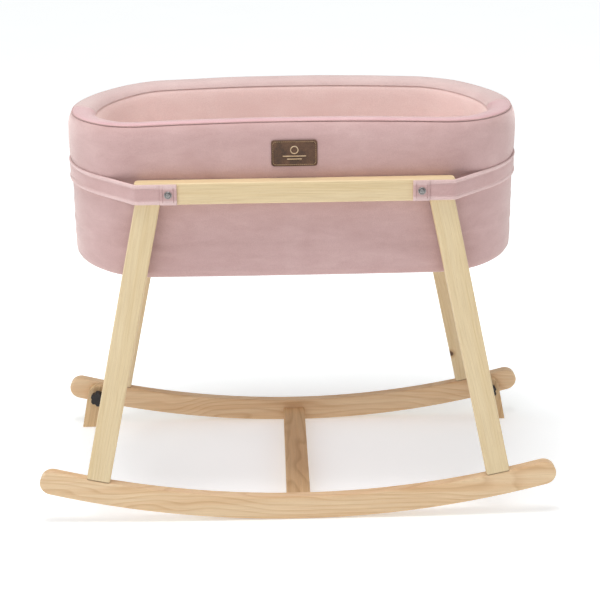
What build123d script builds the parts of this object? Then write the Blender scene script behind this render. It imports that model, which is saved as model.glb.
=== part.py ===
from build123d import *
from math import acos, asin, atan2, cos, degrees, hypot, radians, sin, sqrt, tan
import os

# Rocking bassinet on a pine stand. A padded oval basket hangs in a hoop made of two rails and two
# belts. Each rail stands on two splayed legs and a curved rocker, and a stretcher joins the rockers.
# Two stops on the rear rocker swing down to the floor to park the rocker and are clamped by knobs.
# Millimetres, +Z up, +X to the right, the front is -Y. The origin is on the floor, under the centre.

# Rockers
rocker_length = 930
rocker_height = 44
rocker_thickness = 22
rocker_radius = 1750
rocker_edge = 3.5

# Legs and rails
leg_foot_x = 360
leg_width = 42
leg_thickness = 20
leg_edge = 4
rail_bottom = 593
rail_height = 38
rail_thickness = 28
rail_edge = 4
rail_end_radius = 7

# Stretcher
stretcher_width = 44
stretcher_thickness = 20
stretcher_below_top = 17
stretcher_edge = 3

# Glued dowels
dowel_diameter = 8
dowel_length = 38
dowel_spacing = 20
dowel_glue_room = 1
stretcher_dowel_length = 34

# Parking stops, each on a stud with a knob
stop_pivot_x = 404
stop_width = 46
stop_thickness = 18
stop_tilt = 11
stop_edge = 2.5
stop_gap = 0.3
stud_diameter = 8
stud_clearance = 0.06
insert_diameter = 11
insert_length = 14
washer_diameter = 22
washer_thickness = 1.6
knob_diameter = 30
knob_thickness = 15
knob_lobes = 6
knob_notch_diameter = 9
knob_hub_diameter = 20
knob_hub_length = 6
knob_edge = 1.2
stud_in_knob = 12

# Belts
belt_width = 35
belt_thickness = 3
belt_gap = 0.4
belt_tab_end_x = 200
belt_hem_length = 27
belt_screw_x = 213.5
screw_diameter = 4
screw_length = 24
screw_head_diameter = 8.5
screw_head_height = 2.6
cup_washer_diameter = 13
cup_washer_thickness = 1.4

# Basket outline, seen from above
basket_length = 803
basket_width = 429
basket_corner_radius = 124
basket_end_flatness = 35.5
basket_side_bow = 7

# Basket heights, from the rails' top, and layers
basket_drop = 178
basket_rise = 99
rim_bow = 13
rail_gap = 0.5
seat_gap = 0.5
bulge = 3.5
cover_thickness = 3
bottom_radius = 24
shoulder_radius = 5
foam_thickness = 44
liner_thickness = 3
board_thickness = 6
rim_inset = 9
rim_overhang = 1
rim_thickness = 5
rim_edge = 3

# Mattress
mattress_gap = 7
mattress_thickness = 48
mattress_edge = 14
ticking_thickness = 2

# Label
label_width = 78
label_height = 45
label_thickness = 2
label_corner = 5
label_above_rail = 43

# Derived places
rail_top = rail_bottom + rail_height
rail_middle = rail_bottom + rail_height / 2
basket_end_radius = basket_width / 2 + basket_end_flatness
frame_y = basket_width / 2 + rail_gap + rail_thickness / 2
rocker_inner_y = frame_y - rocker_thickness / 2
rail_face_y = frame_y + rail_thickness / 2
rocker_top_radius = rocker_radius - rocker_height
leg_splay = asin(leg_foot_x / rocker_top_radius)
leg_top_x = (rocker_radius - rail_bottom) * tan(leg_splay)
leg_half_across = leg_width / 2 / cos(leg_splay)
rail_half = leg_top_x + leg_half_across
basket_bottom = rail_top - basket_drop
basket_crest = rail_top + basket_rise
seat_height = rail_top + seat_gap
board_bottom = basket_bottom + cover_thickness
board_top = board_bottom + board_thickness
board_inset = bottom_radius
liner_inset = cover_thickness + foam_thickness
inner_inset = liner_inset + liner_thickness
floor_top = board_top + liner_thickness
pivot_height = rocker_radius - sqrt((rocker_radius - rocker_height / 2) ** 2 - stop_pivot_x**2)
stop_middle_y = rocker_inner_y - stop_gap - stop_thickness / 2
washer_y = stop_middle_y - stop_thickness / 2
knob_y = washer_y - washer_thickness
label_middle = rail_top + label_above_rail

LEFT, RIGHT = -1, 1
FRONT, REAR = -1, 1
SIDE_NAMES = {LEFT: "left", RIGHT: "right"}
FRAME_NAMES = {FRONT: "front", REAR: "rear"}


def upright(y):
    """A plane that faces the front, with X to the right and Z up, at this y."""
    return Plane(origin=(0, y, 0), x_dir=(1, 0, 0), z_dir=(0, -1, 0))


def save(builder, name):
    builder.part.label = name
    export_step(builder.part, f"parts/{name}.step")


def oval_arcs():
    """Centre, radius, start and sweep, in degrees, of the oval's three arcs in the +X +Y quarter."""
    half_length = basket_length / 2
    side_radius = (half_length**2 + basket_side_bow**2) / (2 * basket_side_bow)
    side_y = basket_width / 2 - side_radius
    end_x = half_length - basket_end_radius
    from_side = side_radius - basket_corner_radius
    from_end = basket_end_radius - basket_corner_radius
    apart = hypot(end_x, side_y)
    along = (from_side**2 - from_end**2 + apart**2) / (2 * apart)
    across = sqrt(from_side**2 - along**2)
    corner_x = (along * end_x - across * side_y) / apart
    corner_y = side_y - (along * side_y + across * end_x) / apart
    end_turn = degrees(atan2(corner_y, corner_x - end_x))
    side_turn = degrees(atan2(corner_y - side_y, corner_x))
    return (
        ((end_x, 0), basket_end_radius, 0, end_turn),
        ((corner_x, corner_y), basket_corner_radius, end_turn, side_turn - end_turn),
        ((0, side_y), side_radius, side_turn, 90 - side_turn),
    )


def oval(inset):
    """The basket's outline, drawn this far inside its outer wall, to add to a sketch."""
    with BuildSketch() as outline:
        with BuildLine():
            for centre, radius, start, sweep in oval_arcs():
                CenterArc(centre, radius - inset, start, sweep)
            mirror(about=Plane.YZ)
            mirror(about=Plane.XZ)
        make_face()
    return outline.sketch


def leg_foot_places(x_side, y_side):
    """Where a leg's dowels cross into the rocker, with Z along the leg."""
    places = []
    foot_height = rocker_radius - rocker_top_radius * cos(leg_splay)
    for step in (-dowel_spacing / 2, dowel_spacing / 2):
        foot_x = x_side * (leg_foot_x + step * cos(leg_splay))
        foot_z = foot_height + step * sin(leg_splay)
        turn = -x_side * degrees(leg_splay)
        places.append(Location((foot_x, y_side * frame_y, foot_z), (0, turn, 0)))
    return places


def leg_top_places(x_side, y_side):
    """Where a leg's dowels cross into the rail, upright."""
    steps = (-dowel_spacing / 2, dowel_spacing / 2)
    top_x = x_side * leg_top_x
    return [Location((top_x + step, y_side * frame_y, rail_bottom)) for step in steps]


def stretcher_dowel_places(y_side):
    z = rocker_height - stretcher_below_top - stretcher_thickness / 2
    steps = (-dowel_spacing / 2, dowel_spacing / 2)
    return [Location((step, y_side * rocker_inner_y, z), (90, 0, 0)) for step in steps]


def screw_places(y_side):
    """Where the belt screws enter a rail's outer face, with Z pointing out of the wood."""
    turn = 90 if y_side == FRONT else -90
    y = y_side * rail_face_y
    return [Location((side * belt_screw_x, y, rail_middle), (turn, 0, 0)) for side in (LEFT, RIGHT)]


def make_rocker(y_side):
    spine_radius = rocker_radius - rocker_height / 2
    swing = degrees(asin((rocker_length / 2 - rocker_height / 2) / spine_radius))
    spine = CenterArc((0, rocker_radius), spine_radius, 270 - swing, 2 * swing)
    with BuildPart() as rocker:
        with BuildSketch(upright(y_side * frame_y)):
            SlotArc(spine, rocker_height)
        extrude(amount=rocker_thickness / 2, both=True)
        fillet(rocker.faces().filter_by(Axis.Y).edges(), rocker_edge)
        for x_side in (LEFT, RIGHT):
            with Locations(*leg_foot_places(x_side, y_side)):
                Cylinder(dowel_diameter / 2, dowel_length + dowel_glue_room, mode=Mode.SUBTRACT)
        with Locations(*stretcher_dowel_places(y_side)):
            reach = stretcher_dowel_length + dowel_glue_room
            Cylinder(dowel_diameter / 2, reach, mode=Mode.SUBTRACT)
        if y_side == REAR:
            with Locations(*insert_places()):
                Cylinder(insert_diameter / 2, insert_length, mode=Mode.SUBTRACT)
    save(rocker, FRAME_NAMES[y_side] + "_rocker")


def make_leg(x_side, y_side):
    lean = x_side * tan(leg_splay)
    corners = []
    for height, edge in ((rail_bottom, -1), (rail_bottom, 1), (0, 1), (0, -1)):
        corners.append((lean * (rocker_radius - height) + edge * leg_half_across, height))
    with BuildPart() as leg:
        with BuildSketch(upright(y_side * frame_y)):
            Polygon(*corners, align=None)
            with Locations((0, rocker_radius)):
                Circle(rocker_top_radius, mode=Mode.INTERSECT)
        extrude(amount=leg_thickness / 2, both=True)
        along_leg = Axis((0, 0, 0), (-lean, 0, 1))
        fillet(leg.edges().filter_by(along_leg), leg_edge)
        with Locations(*leg_foot_places(x_side, y_side), *leg_top_places(x_side, y_side)):
            Cylinder(dowel_diameter / 2, dowel_length + dowel_glue_room, mode=Mode.SUBTRACT)
    save(leg, f"{FRAME_NAMES[y_side]}_{SIDE_NAMES[x_side]}_leg")


def make_rail(y_side):
    with BuildPart() as rail:
        with Locations((0, y_side * frame_y, rail_middle)):
            Box(2 * rail_half, rail_thickness, rail_height)
        fillet(rail.edges().filter_by(Axis.Z), rail_end_radius)
        fillet(rail.faces().filter_by(Axis.Z).edges(), rail_edge)
        for x_side in (LEFT, RIGHT):
            with Locations(*leg_top_places(x_side, y_side)):
                Cylinder(dowel_diameter / 2, dowel_length + dowel_glue_room, mode=Mode.SUBTRACT)
        with Locations(*screw_places(y_side)):
            Cylinder(screw_diameter / 2, 2 * screw_length, mode=Mode.SUBTRACT)
    save(rail, FRAME_NAMES[y_side] + "_rail")


def make_stretcher():
    top = rocker_height - stretcher_below_top
    with BuildPart() as stretcher:
        with Locations((0, 0, top - stretcher_thickness / 2)):
            Box(stretcher_width, 2 * rocker_inner_y, stretcher_thickness)
        fillet(stretcher.edges().filter_by(Axis.Y), stretcher_edge)
        with Locations(*stretcher_dowel_places(FRONT), *stretcher_dowel_places(REAR)):
            reach = stretcher_dowel_length + dowel_glue_room
            Cylinder(dowel_diameter / 2, reach, mode=Mode.SUBTRACT)
    save(stretcher, "stretcher")


def make_dowels():
    with BuildPart() as foot_dowels:
        for y_side in (FRONT, REAR):
            for x_side in (LEFT, RIGHT):
                with Locations(*leg_foot_places(x_side, y_side)):
                    Cylinder(dowel_diameter / 2, dowel_length)
    save(foot_dowels, "leg_foot_dowels")
    with BuildPart() as head_dowels:
        for y_side in (FRONT, REAR):
            for x_side in (LEFT, RIGHT):
                with Locations(*leg_top_places(x_side, y_side)):
                    Cylinder(dowel_diameter / 2, dowel_length)
    save(head_dowels, "leg_top_dowels")
    with BuildPart() as stretcher_dowels:
        with Locations(*stretcher_dowel_places(FRONT), *stretcher_dowel_places(REAR)):
            Cylinder(dowel_diameter / 2, stretcher_dowel_length)
    save(stretcher_dowels, "stretcher_dowels")


def pivot_place(x_side, y):
    """A stop's pivot line at this y, with Z pointing to the front."""
    return Location((x_side * stop_pivot_x, y, pivot_height), (90, 0, 0))


def insert_places():
    middle_y = rocker_inner_y + insert_length / 2
    return [pivot_place(x_side, middle_y) for x_side in (LEFT, RIGHT)]


def make_inserts():
    with BuildPart() as inserts:
        with Locations(*insert_places()):
            Cylinder(insert_diameter / 2, insert_length)
            Cylinder(stud_diameter / 2 + stud_clearance, insert_length, mode=Mode.SUBTRACT)
    save(inserts, "stop_inserts")


def make_stop(x_side):
    tilt = radians(stop_tilt)
    half_x, half_z = stop_width / 2 * cos(tilt), stop_width / 2 * sin(tilt)
    across = stop_width / 2 / cos(tilt)
    foot_x = stop_pivot_x + pivot_height * tan(tilt)
    corners = (
        (x_side * (stop_pivot_x - half_x), pivot_height - half_z),
        (x_side * (stop_pivot_x + half_x), pivot_height + half_z),
        (x_side * (foot_x + across), 0),
        (x_side * (foot_x - across), 0),
    )
    with BuildPart() as stop:
        with BuildSketch(upright(stop_middle_y)):
            Polygon(*corners, align=None)
            with Locations((x_side * stop_pivot_x, pivot_height)):
                Circle(stop_width / 2)
        extrude(amount=stop_thickness / 2, both=True)
        fillet(stop.faces().filter_by(Axis.Y).edges(), stop_edge)
        with Locations(pivot_place(x_side, stop_middle_y)):
            bore = stud_diameter / 2 + stud_clearance
            Cylinder(bore, stop_thickness, mode=Mode.SUBTRACT)
    save(stop, SIDE_NAMES[x_side] + "_stop")


def make_knob(x_side):
    with BuildPart() as knob:
        with BuildSketch(upright(knob_y - knob_hub_length)):
            with Locations((x_side * stop_pivot_x, pivot_height)):
                Circle(knob_diameter / 2)
                with PolarLocations(knob_diameter / 2 + knob_notch_diameter / 5, knob_lobes):
                    Circle(knob_notch_diameter / 2, mode=Mode.SUBTRACT)
        extrude(amount=knob_thickness)
        fillet(knob.faces().filter_by(Axis.Y).edges(), knob_edge)
        with Locations(pivot_place(x_side, knob_y - knob_hub_length / 2)):
            Cylinder(knob_hub_diameter / 2, knob_hub_length)
        with Locations(pivot_place(x_side, knob_y)):
            Cylinder(stud_diameter / 2, 2 * stud_in_knob, mode=Mode.SUBTRACT)
    save(knob, SIDE_NAMES[x_side] + "_stop_knob")


def make_stud(x_side):
    back = rocker_inner_y + insert_length - dowel_glue_room
    front = knob_y - stud_in_knob
    with BuildPart() as stud:
        with Locations(pivot_place(x_side, (front + back) / 2)):
            Cylinder(stud_diameter / 2, back - front)
    save(stud, SIDE_NAMES[x_side] + "_knob_stud")


def make_washer(x_side):
    with BuildPart() as washer:
        with Locations(pivot_place(x_side, washer_y - washer_thickness / 2)):
            Cylinder(washer_diameter / 2, washer_thickness)
            Cylinder(stud_diameter / 2, washer_thickness, mode=Mode.SUBTRACT)
    save(washer, SIDE_NAMES[x_side] + "_stop_washer")


def belt_leave_angle(corner, centre, radius):
    """Direction, in degrees, square to the straight run from a rail's corner to an arc."""
    run_x, run_y = centre[0] - corner[0], centre[1] - corner[1]
    spread = acos((rail_end_radius - radius) / hypot(run_x, run_y))
    return degrees(atan2(run_y, run_x) + spread)


def make_belt(x_side):
    """Tab on each rail, round the rail's end, straight to the basket and round its end."""
    end_arc, corner_arc = oval_arcs()[:2]
    rail_corner = (rail_half - rail_end_radius, rail_face_y - rail_end_radius)
    end_radius = basket_end_radius + belt_gap
    corner_radius = basket_corner_radius + belt_gap
    run_centre, run_radius = corner_arc[0], corner_radius
    leave = belt_leave_angle(rail_corner, run_centre, run_radius)
    wraps_corner = leave > end_arc[3]
    if not wraps_corner:
        run_centre, run_radius = end_arc[0], end_radius
        leave = belt_leave_angle(rail_corner, run_centre, run_radius)
    out = (cos(radians(leave)), sin(radians(leave)))
    run_start = (rail_corner[0] + rail_end_radius * out[0], rail_corner[1] + rail_end_radius * out[1])
    run_end = (run_centre[0] + run_radius * out[0], run_centre[1] + run_radius * out[1])
    hem_middle = (belt_tab_end_x + belt_hem_length / 2, rail_face_y + 1.5 * belt_thickness)
    with BuildPart() as belt:
        with BuildSketch(Plane.XY.offset(rail_middle - belt_width / 2)):
            with BuildLine():
                Line((belt_tab_end_x, rail_face_y), (rail_corner[0], rail_face_y))
                CenterArc(rail_corner, rail_end_radius, 90, leave - 90)
                Line(run_start, run_end)
                if wraps_corner:
                    CenterArc(run_centre, run_radius, leave, end_arc[3] - leave)
                CenterArc(end_arc[0], end_radius, 0, min(leave, end_arc[3]))
                mirror(about=Plane.XZ)
                offset(amount=belt_thickness, side=Side.LEFT)
            make_face()
            with Locations(hem_middle, (hem_middle[0], -hem_middle[1])):
                Rectangle(belt_hem_length, belt_thickness)
            if x_side == LEFT:
                mirror(about=Plane.YZ, mode=Mode.REPLACE)
        extrude(amount=belt_width)
        with Locations(*screw_places(FRONT), *screw_places(REAR)):
            Cylinder(screw_diameter / 2, 4 * belt_thickness + 1, mode=Mode.SUBTRACT)
    save(belt, SIDE_NAMES[x_side] + "_belt")


def make_screws():
    cup_seat = 2 * belt_thickness
    head_seat = cup_seat + cup_washer_thickness
    shank = screw_length - 1 + head_seat
    places = screw_places(FRONT) + screw_places(REAR)
    with BuildPart() as cups:
        with Locations(*raised(places, cup_seat + cup_washer_thickness / 2)):
            Cylinder(cup_washer_diameter / 2, cup_washer_thickness)
            Cylinder(screw_diameter / 2, cup_washer_thickness, mode=Mode.SUBTRACT)
    save(cups, "belt_cup_washers")
    with BuildPart() as screws:
        with Locations(*raised(places, head_seat + screw_head_height / 2)):
            Cylinder(screw_head_diameter / 2, screw_head_height)
        with Locations(*raised(places, head_seat - shank / 2)):
            Cylinder(screw_diameter / 2, shank)
    save(screws, "belt_screws")


def raised(places, height):
    return [place * Location((0, 0, height)) for place in places]


def arch_place(drop):
    """Centre of the long arc that the rim follows from end to end, lowered by drop."""
    return (0, 0, basket_crest - drop - arch_radius())


def arch_radius():
    half_length = basket_length / 2
    return (half_length**2 + rim_bow**2) / (2 * rim_bow)


def cut_to_arch(drop, mode=Mode.INTERSECT):
    with Locations(arch_place(drop)):
        Cylinder(arch_radius(), 2 * basket_width, rotation=(90, 0, 0), mode=mode)


def round_bottomed_block(inset, bottom, edge_radius):
    with BuildPart() as block:
        with BuildSketch(Plane.XY.offset(bottom)):
            add(oval(inset))
        extrude(amount=basket_crest - bottom)
        fillet(block.edges().group_by(Axis.Z)[0], edge_radius)
    return block.part


def inner_block():
    return round_bottomed_block(cover_thickness, board_bottom, bottom_radius - cover_thickness)


def make_cover():
    outside = round_bottomed_block(0, basket_bottom, bottom_radius)
    inside = inner_block()
    with BuildPart() as cover:
        add(outside)
        with BuildSketch(Plane.XY.offset(seat_height)):
            add(oval(-bulge))
        extrude(amount=basket_crest - seat_height)
        add(inside, mode=Mode.SUBTRACT)
        cut_to_arch(rim_thickness)
        top_edges = cover.faces().sort_by(Axis.Z)[-1].outer_wire().edges()
        fillet(top_edges, min(shoulder_radius, 0.8 * (cover_thickness + bulge)))
    save(cover, "basket_cover")


def make_board():
    with BuildPart() as board:
        with BuildSketch(Plane.XY.offset(board_bottom)):
            add(oval(board_inset))
        extrude(amount=board_thickness)
    save(board, "base_board")


def make_foam():
    inside = inner_block()
    with BuildPart() as foam:
        add(inside)
        with BuildSketch(Plane.XY.offset(board_bottom)):
            add(oval(board_inset))
        extrude(amount=board_thickness, mode=Mode.SUBTRACT)
        with BuildSketch(Plane.XY.offset(board_top)):
            add(oval(liner_inset))
        extrude(amount=basket_crest - board_top, mode=Mode.SUBTRACT)
        cut_to_arch(rim_thickness)
    save(foam, "wall_foam")


def make_liner():
    with BuildPart() as liner:
        with BuildSketch(Plane.XY.offset(board_top)):
            add(oval(liner_inset))
        extrude(amount=basket_crest - board_top)
        with BuildSketch(Plane.XY.offset(floor_top)):
            add(oval(inner_inset))
        extrude(amount=basket_crest - floor_top, mode=Mode.SUBTRACT)
        cut_to_arch(rim_thickness)
    save(liner, "basket_liner")


def make_rim(y_side):
    with BuildPart() as rim:
        with BuildSketch(Plane.XY.offset(basket_crest - rim_bow - 2 * rim_thickness)):
            add(oval(rim_inset - bulge))
            add(oval(inner_inset + rim_overhang), mode=Mode.SUBTRACT)
        extrude(amount=rim_bow + 2 * rim_thickness)
        cut_to_arch(0)
        cut_to_arch(rim_thickness, mode=Mode.SUBTRACT)
        fillet(rim.faces().sort_by(Axis.Z)[-1].edges(), rim_edge)
        split(bisect_by=Plane.XZ, keep=Keep.TOP if y_side == FRONT else Keep.BOTTOM)
    save(rim, FRAME_NAMES[y_side] + "_rim_strip")


def mattress_block(shrink):
    with BuildPart() as block:
        with BuildSketch(Plane.XY.offset(floor_top + shrink)):
            add(oval(inner_inset + mattress_gap + shrink))
        extrude(amount=mattress_thickness - 2 * shrink)
        ends = block.edges().group_by(Axis.Z)
        fillet(ends[0] + ends[-1], mattress_edge - shrink)
    return block.part


def make_mattress():
    core = mattress_block(ticking_thickness)
    outside = mattress_block(0)
    with BuildPart() as ticking:
        add(outside)
        add(core, mode=Mode.SUBTRACT)
    save(ticking, "mattress_ticking")
    with BuildPart() as filling:
        add(core)
    save(filling, "mattress_core")


def make_label():
    with BuildPart() as label:
        with BuildSketch(upright(-basket_width / 2 - bulge)):
            with Locations((0, label_middle)):
                RectangleRounded(label_width, label_height, label_corner)
        extrude(amount=label_thickness)
    save(label, "label_patch")


os.makedirs("parts", exist_ok=True)
for y_side in (FRONT, REAR):
    make_rocker(y_side)
    make_rail(y_side)
    make_rim(y_side)
    for x_side in (LEFT, RIGHT):
        make_leg(x_side, y_side)
make_stretcher()
make_dowels()
make_inserts()
for x_side in (LEFT, RIGHT):
    make_stop(x_side)
    make_knob(x_side)
    make_stud(x_side)
    make_washer(x_side)
    make_belt(x_side)
make_screws()
make_cover()
make_board()
make_foam()
make_liner()
make_mattress()
make_label()
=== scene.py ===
from math import acos, asin, atan2, cos, hypot, pi, radians, sin, sqrt

import bpy
from mathutils import Euler, Matrix, Vector, noise


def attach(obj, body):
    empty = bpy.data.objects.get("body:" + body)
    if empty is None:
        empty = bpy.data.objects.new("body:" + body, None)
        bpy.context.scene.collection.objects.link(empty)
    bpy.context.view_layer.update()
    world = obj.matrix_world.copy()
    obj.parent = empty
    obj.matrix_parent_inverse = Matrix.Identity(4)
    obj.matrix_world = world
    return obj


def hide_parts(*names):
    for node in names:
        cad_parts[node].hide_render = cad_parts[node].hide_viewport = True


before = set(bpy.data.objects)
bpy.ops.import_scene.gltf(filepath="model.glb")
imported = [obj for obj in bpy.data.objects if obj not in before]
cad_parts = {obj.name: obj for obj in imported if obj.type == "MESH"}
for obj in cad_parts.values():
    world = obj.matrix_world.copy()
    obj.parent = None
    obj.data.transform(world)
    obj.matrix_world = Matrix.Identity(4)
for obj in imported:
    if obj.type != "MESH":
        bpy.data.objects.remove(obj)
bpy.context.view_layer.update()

# A rocking bassinet: a padded oval velvet basket in a hoop of two wooden rails and two velvet belts,
# on four splayed legs and two curved rockers, with two swing-down parking stops on the rear rocker.
# Metres, +Z up, the front is -Y.

# Basket outline, seen from above, as three arcs in each quarter
HALF_LENGTH = 0.4015
HALF_WIDTH = 0.2145
END_RADIUS = 0.250
CORNER_RADIUS = 0.124
SIDE_BOW = 0.007

# Heights
BASKET_BOTTOM = 0.453
CREST = 0.730
RIM_BOW = 0.013
RAIL_MIDDLE = 0.612

# Frame and fittings
RAIL_FACE_Y = 0.243
RAIL_HALF = 0.2722
RAIL_END_RADIUS = 0.007
ROCKER_RADIUS = 1.750
ROCKER_HEIGHT = 0.044
LEG_SPLAY = asin(0.360 / (ROCKER_RADIUS - ROCKER_HEIGHT))
BELT_TAB_END = 0.200
BELT_HEM = 0.027
BELT_SCREW_X = 0.2135


# ---------------------------------------------------------------- outline and shape helpers


def quarter_arcs():
    """Centre x, centre y, radius, first and last direction of the arcs from +X round to +Y."""
    side_radius = (HALF_LENGTH**2 + SIDE_BOW**2) / (2 * SIDE_BOW)
    side_y = HALF_WIDTH - side_radius
    end_x = HALF_LENGTH - END_RADIUS
    from_side = side_radius - CORNER_RADIUS
    from_end = END_RADIUS - CORNER_RADIUS
    apart = hypot(end_x, side_y)
    along = (from_side**2 - from_end**2 + apart**2) / (2 * apart)
    across = sqrt(from_side**2 - along**2)
    corner_x = (along * end_x - across * side_y) / apart
    corner_y = side_y - (along * side_y + across * end_x) / apart
    end_turn = atan2(corner_y, corner_x - end_x)
    side_turn = atan2(corner_y - side_y, corner_x)
    return (
        (end_x, 0.0, END_RADIUS, 0.0, end_turn),
        (corner_x, corner_y, CORNER_RADIUS, end_turn, side_turn),
        (0.0, side_y, side_radius, side_turn, pi / 2),
    )


ARCS = quarter_arcs()
QUARTER = sum(radius * (last - first) for _, _, radius, first, last in ARCS)


def outline(share):
    """Point and outward direction on the basket's outline, share 0 to 1 from +X towards +Y."""
    turn = (share % 1.0) * 4
    quarter = int(turn)
    part = turn - quarter
    if quarter % 2:
        part = 1 - part
    left = part * QUARTER
    for centre_x, centre_y, radius, first, last in ARCS:
        span = radius * (last - first)
        if left <= span or last == ARCS[-1][4]:
            direction = first + left / radius
            break
        left -= span
    sign_x = 1 if quarter in (0, 3) else -1
    sign_y = 1 if quarter in (0, 1) else -1
    out = Vector((sign_x * cos(direction), sign_y * sin(direction), 0))
    at = Vector((centre_x * sign_x, centre_y * sign_y, 0)) + radius * out
    return at, out


def arch(x, drop=0.0):
    """Height of the rim's long arc over x, lowered by drop."""
    radius = (HALF_LENGTH**2 + RIM_BOW**2) / (2 * RIM_BOW)
    return CREST - drop - radius + sqrt(radius**2 - min(abs(x), HALF_LENGTH) ** 2)


def smooth(low, high, value):
    t = min(1.0, max(0.0, (value - low) / (high - low)))
    return t * t * (3 - 2 * t)


def along_line(points, share):
    """The point this share of the way along a line of points, by length."""
    lengths = [0.0]
    for a, b in zip(points, points[1:]):
        lengths.append(lengths[-1] + (Vector(b) - Vector(a)).length)
    want = share * lengths[-1]
    for k in range(1, len(points)):
        if want <= lengths[k] or k == len(points) - 1:
            part = (want - lengths[k - 1]) / max(1e-9, lengths[k] - lengths[k - 1])
            return Vector(points[k - 1]).lerp(Vector(points[k]), part)


def rounded(points, rounds=2):
    """A line of points with its corners rounded off by cutting them this many times."""
    for _ in range(rounds):
        cut = [points[0]]
        for a, b in zip(points, points[1:]):
            a, b = Vector(a), Vector(b)
            cut += [a.lerp(b, 0.25), a.lerp(b, 0.75)]
        cut.append(points[-1])
        points = cut
    return [Vector(p) for p in points]


def select_none():
    if bpy.context.mode != "OBJECT":
        bpy.ops.object.mode_set(mode="OBJECT")
    bpy.ops.object.select_all(action="DESELECT")


def active(obj):
    select_none()
    obj.select_set(True)
    bpy.context.view_layer.objects.active = obj


def apply_modifiers(obj):
    active(obj)
    for modifier in list(obj.modifiers):
        bpy.ops.object.modifier_apply(modifier=modifier.name)


def clean(obj, distance=1e-5, angle=35):
    """Merges doubled vertices, turns the faces outwards and shades smooth up to this angle."""
    active(obj)
    bpy.ops.object.mode_set(mode="EDIT")
    bpy.ops.mesh.select_all(action="SELECT")
    bpy.ops.mesh.remove_doubles(threshold=distance)
    bpy.ops.mesh.normals_make_consistent(inside=False)
    bpy.ops.object.mode_set(mode="OBJECT")
    bpy.ops.object.shade_smooth_by_angle(angle=radians(angle))


def wrapped(name, columns, rows, place, angle=35):
    """A grid of faces laid on a surface: place gives the point for each pair of shares, 0 to 1."""
    select_none()
    bpy.ops.mesh.primitive_grid_add(x_subdivisions=columns, y_subdivisions=rows, size=2)
    obj = bpy.context.object
    obj.name = obj.data.name = name
    for vertex in obj.data.vertices:
        vertex.co = place((vertex.co.x + 1) / 2, (vertex.co.y + 1) / 2)
    clean(obj, angle=angle)
    return obj


def joined(name, pieces):
    select_none()
    for piece in pieces:
        piece.select_set(True)
    bpy.context.view_layer.objects.active = pieces[0]
    if len(pieces) > 1:
        bpy.ops.object.join()
    obj = bpy.context.object
    obj.name = obj.data.name = name
    return obj


def settle(obj):
    """Puts an object's place and turn into its mesh."""
    active(obj)
    bpy.ops.object.transform_apply(location=True, rotation=True, scale=True)
    return obj


def finish_piece(obj, body, slot, look, *stands_for):
    obj.data.materials.clear()
    obj.data.materials.append(look)
    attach(obj, body)
    if stands_for:
        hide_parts(*stands_for)
    return obj


def tube(name, points, radius, sides=6, closed=False):
    """A round thread along a line of points, with its ends drawn in."""
    points = [Vector(p) for p in points]
    count = len(points)
    sections = []
    for k, point in enumerate(points):
        before = points[k - 1] if closed or k else points[k]
        after = points[(k + 1) % count] if closed or k < count - 1 else points[k]
        ahead = (after - before).normalized()
        side = ahead.cross(Vector((0, 0, 1)))
        if side.length < 0.2:
            side = ahead.cross(Vector((0, 1, 0)))
        side.normalize()
        sections.append((point, side, side.cross(ahead)))
    steps = count if closed else count - 1

    def place(u, v):
        k = round(u * steps)
        point, side, lift = sections[k % count]
        turn = 2 * pi * v
        end = 0.0 if not closed and k in (0, steps) else radius
        return point + end * (cos(turn) * side + sin(turn) * lift)

    return wrapped(name, steps, sides, place, angle=80)


# ---------------------------------------------------------------- materials


def linear(hex_colour):
    """An sRGB hex colour as linear red, green, blue and alpha."""
    values = []
    for k in (0, 2, 4):
        c = int(hex_colour[k : k + 2], 16) / 255
        values.append(c / 12.92 if c <= 0.04045 else ((c + 0.055) / 1.055) ** 2.4)
    return (*values, 1.0)


def add(tree, kind, settings=None, **links):
    """Adds a node, sets its properties and inputs, and links inputs named by their place, as in0."""
    made = tree.nodes.new(kind)
    for key, value in (settings or {}).items():
        if isinstance(key, int):
            made.inputs[key].default_value = value
        elif hasattr(made, key):
            setattr(made, key, value)
        else:
            made.inputs[key].default_value = value
    for key, source in links.items():
        tree.links.new(made.inputs[int(key[2:])], source)
    return made


def ramp(tree, factor, stops):
    """Colours from (place, hex) stops."""
    made = add(tree, "ShaderNodeValToRGB", in0=factor)
    elements = made.color_ramp.elements
    while len(elements) < len(stops):
        elements.new(0.5)
    for element, (place, colour) in zip(elements, stops):
        element.position = place
        element.color = linear(colour)
    return made.outputs[0]


def start_material(name, roughness, **constants):
    look = bpy.data.materials.new(name)
    look.use_nodes = True
    tree = look.node_tree
    shader = tree.nodes["Principled BSDF"]
    shader.inputs["Roughness"].default_value = roughness
    for key, value in constants.items():
        shader.inputs[key.replace("_", " ")].default_value = value
    place = add(tree, "ShaderNodeTexCoord").outputs["Object"]
    return look, tree, shader, place


def pattern(tree, place, turn=(0, 0, 0), scale=(1, 1, 1), move=(0, 0, 0)):
    """The piece's own coordinates, centred, turned and stretched."""
    settings = {1: move, 2: Euler(turn), 3: scale}
    return add(tree, "ShaderNodeMapping", settings, in0=place).outputs[0]


def noisy(tree, at, scale, detail=2.0, roughness=0.5, distortion=0.0):
    settings = {"Scale": scale, "Detail": detail, "Roughness": roughness, "Distortion": distortion}
    return add(tree, "ShaderNodeTexNoise", settings, in0=at).outputs["Fac"]


def calculate(tree, operation, first, second=None):
    """A sum on one socket, or on a socket and a second socket or number."""
    made = add(tree, "ShaderNodeMath", {"operation": operation}, in0=first)
    if isinstance(second, (int, float)):
        made.inputs[1].default_value = second
    elif second is not None:
        tree.links.new(made.inputs[1], second)
    return made.outputs[0]


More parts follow.
